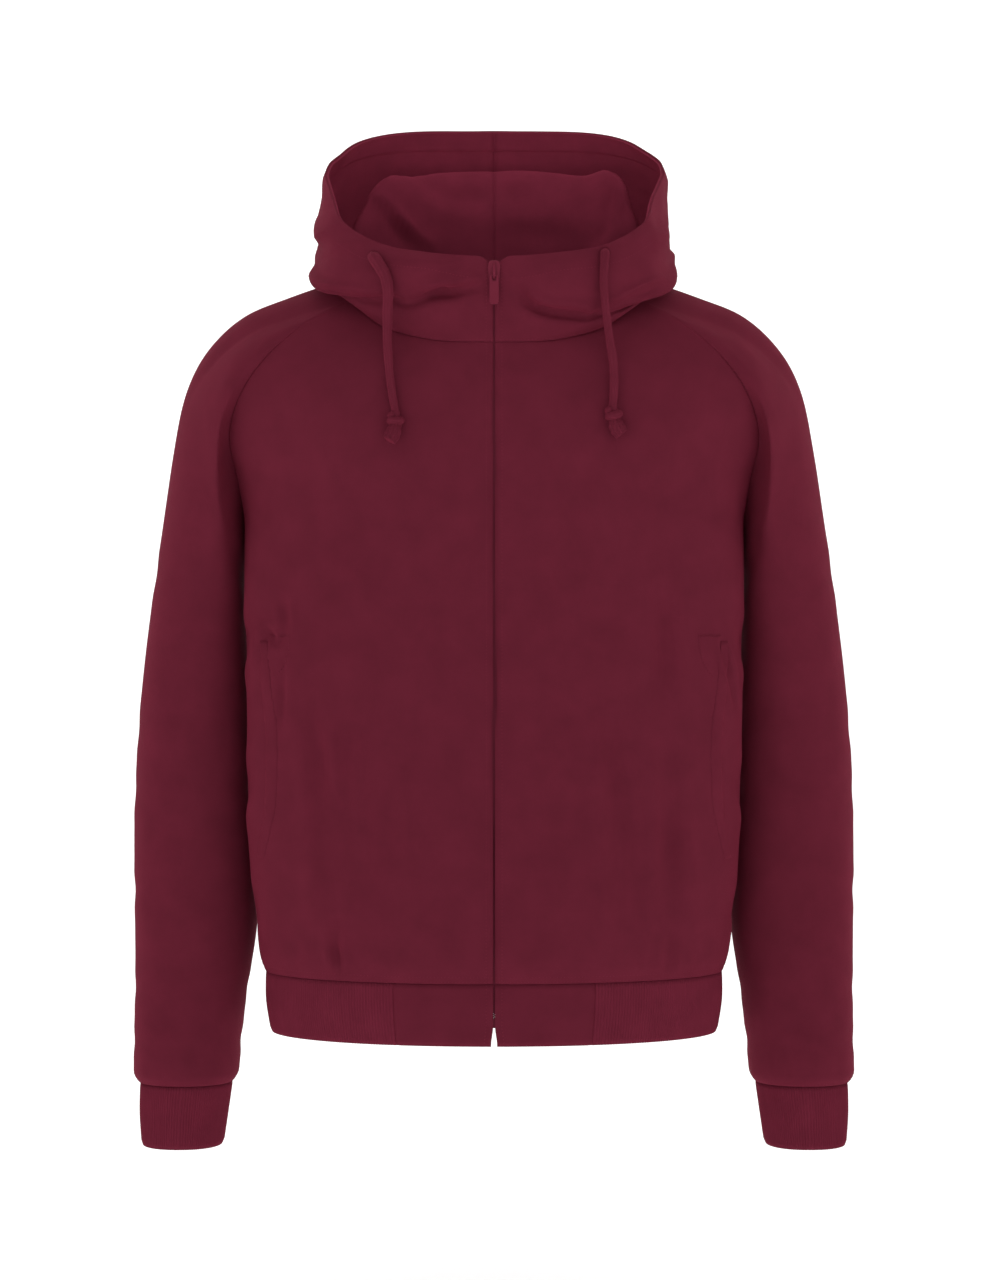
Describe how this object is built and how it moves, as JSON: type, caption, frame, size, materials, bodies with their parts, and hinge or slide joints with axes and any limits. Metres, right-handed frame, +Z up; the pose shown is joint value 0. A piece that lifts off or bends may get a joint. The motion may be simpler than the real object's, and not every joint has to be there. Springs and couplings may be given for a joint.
{
  "type": "zip up hoodie",
  "caption": "Burgundy zip-through hooded sweatshirt in its worn shape, with raglan sleeves, ribbed cuffs and hem band, side welt pockets and knotted drawcord.",
  "frame": {"origin": "middle of the neck opening, level with the shoulder points of the neck seam, where the wearer's neck and shoulders hold the garment", "axes": "+Z up along the worn garment, -Y out of its zipped front, +X towards the wearer's left sleeve"},
  "size_m": [0.678, 0.3204, 0.97],
  "materials": {
    "fleece": "fine jersey face of a brushed sweatshirt fleece, matt",
    "rib": "rib knit, matt",
    "zip_tape": "woven tape, matt",
    "zip_teeth": "fine moulded teeth in the garment's colour, satin",
    "zip_metal": "enamel in the garment's colour, satin",
    "drawcord": "flat-tubular knit cord, matt"
  },
  "bodies": {
    "garment": {"front_left": "fleece", "front_right": "fleece", "back": "fleece", "sleeve_left": "fleece", "sleeve_right": "fleece", "hood_left": "fleece", "hood_right": "fleece", "hood_hem_left": "fleece", "hood_hem_right": "fleece", "hem_insert_left": "fleece", "hem_insert_right": "fleece", "pocket_welt_left": "fleece", "pocket_welt_right": "fleece", "cuff_left": "rib", "cuff_right": "rib", "hem_rib": "rib", "zip_tape_left": "zip_tape", "zip_tape_right": "zip_tape", "zip_chain": "zip_teeth", "zip_stop": "zip_teeth", "zip_slider": "zip_metal", "zip_bail": "zip_metal", "drawcord_left": "drawcord", "drawcord_right": "drawcord", "knot_left": "drawcord", "knot_right": "drawcord"},
    "pull_tab": {"zip_pull": "zip_metal"}
  },
  "joints": [
    {"name": "pull_tab_hinge", "type": "hinge", "parent": "garment", "child": "pull_tab", "pos_m": [0, -0.12242, -0.0025], "axis": [-1, 0, 0], "range_deg": [0, 130]}
  ]
}
